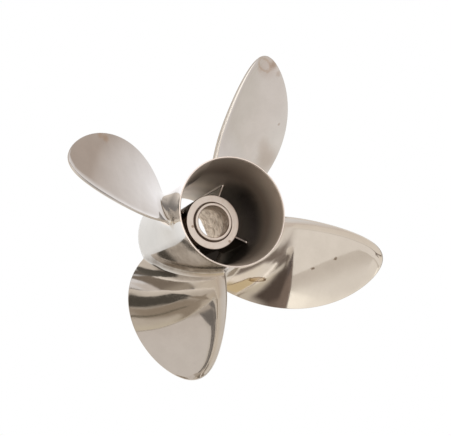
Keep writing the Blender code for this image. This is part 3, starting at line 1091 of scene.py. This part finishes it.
def brown_shape(tree, angle, rise):
    """A dark body low down: a slanting tail, a block with a soft top, and a strip over both."""
    turn = calc(tree, "DIVIDE", calc(tree, "ADD", angle, 75.5), -11.5)
    foot = calc(tree, "SUBTRACT", 12.8, calc(tree, "MULTIPLY", calc(tree, "EXPONENT", turn), 11.3))
    above = ramp(tree, calc(tree, "SUBTRACT", rise, foot), -0.5, 0.8)
    slope = weighted(tree, rise, 1.0, calc(tree, "ADD", angle, 85.0), -0.57)
    tail = both(tree, fall(tree, slope, -1.5, 3.5), fall(tree, angle, -70.0, -66.0))
    top = weighted(tree, rise, 1.0, calc(tree, "ADD", angle, 63.0), 0.2)
    block = both(tree, ramp(tree, angle, -74.5, -68.0), fall(tree, top, 12.0, 17.5))
    strip = both(tree, ramp(tree, angle, -79.0, -74.5), within(tree, rise, 12.6, 13.8, 0.8))
    strip = both(tree, strip, fall(tree, angle, -68.0, -62.0))
    fade = both(tree, ramp(tree, angle, -62.0, -50.0, 1.0, 0.55), fall(tree, angle, -42.0, -34.0))
    return both(tree, above, either(tree, tail, block, strip), fade)


def ochre_patch(tree, angle, rise, tones):
    """An ochre patch near the horizon under a slanting dark line."""
    slant = weighted(tree, rise, 1.0, calc(tree, "ADD", angle, 107.0), -0.42)
    patch = both(tree, within(tree, angle, -112.0, -92.0, 2.0), fall(tree, rise, 10.0, 11.5))
    patch = both(tree, patch, ramp(tree, slant, 0.0, 0.6))
    tones = painted(tree, tones, patch, (0.91, 0.71, 0.43))
    line = both(tree, within(tree, slant, -0.2, 0.2, 0.5), within(tree, angle, -106.0, -91.0, 2.0))
    return painted(tree, tones, line, (0.44, 0.32, 0.20))


def dark_hook(tree, angle, rise, tones):
    """A dark hook on a brown ground, low down towards -X."""
    behind = calc(tree, "SUBTRACT", calc(tree, "MODULO", calc(tree, "ADD", angle, 360.0), 360.0), 180.0)
    ground = both(tree, within(tree, behind, -11.0, 6.6, 1.5), fall(tree, rise, 3.6, 5.0))
    tones = painted(tree, tones, ground, (0.62, 0.53, 0.45))
    left = fall(tree, weighted(tree, rise, 1.0, behind, -1.7), 5.4, 6.4)
    right = fall(tree, weighted(tree, rise, 1.0, behind, 0.7), 10.6, 11.6)
    hook = both(tree, left, right, ramp(tree, rise, 3.4, 4.2), within(tree, behind, -0.9, 6.6, 0.6))
    low = both(tree, within(tree, behind, 6.6, 9.2, 0.7), fall(tree, rise, 3.2, 4.6))
    return painted(tree, tones, either(tree, hook, low), (0.25, 0.22, 0.20))


def reflected_sky(tree, angle, rise):
    """The surroundings: pale, with a panel's soft edge, a window, a lamp, and dark shapes low down."""
    low, high = around(tree, angle, LOW_TONES), around(tree, angle, HIGH_TONES)
    tones = blend(tree, ramp(tree, rise, 6.0, 17.0), low, high)
    beyond = calc(tree, "SUBTRACT", weighted(tree, rise, 1.63, angle, -1.0), 123.6)
    panel = both(tree, ramp(tree, beyond, -0.4, 0.6), fall(tree, beyond, 5.0, 26.0))
    panel = both(tree, panel, within(tree, rise, 22.0, 48.0, 5.0), within(tree, angle, -112.0, -50.0, 6.0))
    tones = painted(tree, tones, panel, (0.91, 0.81, 0.71))
    glare = both(tree, within(tree, angle, -109.0, -101.0, 5.0), within(tree, rise, 27.0, 33.0, 4.0))
    tones = painted(tree, tones, glare, (1.60, 1.48, 1.31))
    tones = ochre_patch(tree, angle, rise, tones)
    tones = painted(tree, tones, ramp(tree, rise, 48.0, 62.0), (1.0, 0.97, 0.93))
    window = both(tree, within(tree, angle, 120.0, 165.0, 6.0), within(tree, rise, 40.0, 58.0, 8.0))
    tones = painted(tree, tones, window, (1.42, 1.34, 1.26))
    tones = painted(tree, tones, brown_shape(tree, angle, rise), (0.31, 0.245, 0.205))
    tones = dark_hook(tree, angle, rise, tones)
    shade = both(tree, within(tree, angle, -40.0, 55.0, 18.0), within(tree, rise, 38.0, 62.0, 10.0))
    tones = painted(tree, tones, shade, (0.35, 0.31, 0.27))
    lamp = both(tree, within(tree, angle, -120.0, -65.0, 18.0), within(tree, rise, 60.0, 78.0, 6.0))
    return painted(tree, tones, lamp, (1.6, 1.5, 1.4))


def deep_sky(tree, angle, rise, tones):
    """The surroundings in reflections of reflections: paler, with a glare and two dark parts."""
    tones = painted(tree, tones, 0.5, (1.6, 1.45, 1.30))
    slope = weighted(tree, rise, 1.0, calc(tree, "ADD", angle, 63.0), 0.8)
    glare = both(tree, within(tree, angle, -78.0, -66.0, 2.0), fall(tree, rise, 4.5, 7.0))
    glare = both(tree, glare, fall(tree, slope, 0.4, 1.4))
    tones = painted(tree, tones, glare, (2.05, 1.90, 1.74))
    brown = both(tree, within(tree, slope, 1.4, 8.0, 0.9), ramp(tree, angle, -74.0, -70.0))
    low = both(tree, fall(tree, rise, -1.7, -0.7), ramp(tree, angle, -60.0, -56.0))
    brown = both(tree, either(tree, brown, low), fall(tree, angle, -34.0, -26.0))
    tones = painted(tree, tones, brown, (0.42, 0.345, 0.30))
    dark = blend(tree, ramp(tree, angle, -12.0, -2.0), tone(0.31, 0.25, 0.235), tone(0.56, 0.43, 0.37))
    side = both(tree, within(tree, angle, -23.0, 30.0, 5.0), fall(tree, rise, 38.0, 44.0))
    return blend(tree, side, tones, dark)


def make_world():
    """Surroundings that the camera sees white."""
    world = bpy.data.worlds.new("studio")
    world.use_nodes = True
    tree = world.node_tree
    tree.nodes.clear()
    output = add_node(tree, "ShaderNodeOutputWorld")
    direction = add_node(tree, "ShaderNodeTexCoord").outputs["Generated"]
    x, y, z = add_node(tree, "ShaderNodeSeparateXYZ", {0: direction}).outputs
    angle = azimuth(tree, x, y)
    rise = calc(tree, "MULTIPLY", calc(tree, "ARCSINE", z), 180.0 / math.pi)
    path = add_node(tree, "ShaderNodeLightPath")
    tones = reflected_sky(tree, angle, rise)
    deep = calc(tree, "GREATER_THAN", path.outputs["Ray Depth"], DEEP_SKY)
    tones = blend(tree, deep, tones, deep_sky(tree, angle, rise, tones))
    glow = add_node(tree, "ShaderNodeBackground", {"Color": tones, "Strength": 1.0})
    white = add_node(tree, "ShaderNodeBackground", {"Color": tone(1, 1, 1), "Strength": 1.0})
    inputs = {0: path.outputs["Is Camera Ray"], 1: glow.outputs[0], 2: white.outputs[0]}
    mix = add_node(tree, "ShaderNodeMixShader", inputs)
    tree.links.new(mix.outputs[0], output.inputs["Surface"])
    bpy.context.scene.world = world


def main():
    bpy.context.scene.view_settings.view_transform = "Standard"
    make_camera()
    make_floor()
    make_world()
    polished = make_polished()
    satin = make_satin()
    turned = make_turned("turned_steel", (0.72, 0.645, 0.59), 0.30)
    # A paler copy of the turned steel for the barrel's rims and the ribs' aft edges: a painted highlight
    rim = make_turned("rim_steel_with_painted_highlight", (0.94, 0.86, 0.81), 0.30)
    rough = make_cast()
    for number in range(BLADES):
        make_blade(number, polished)
    make_barrel(polished, satin, rim)
    make_hub(satin, turned, rough)
    make_sleeve(turned, rough)
    for number in range(RIBS):
        make_rib(number, satin, rim)


main()
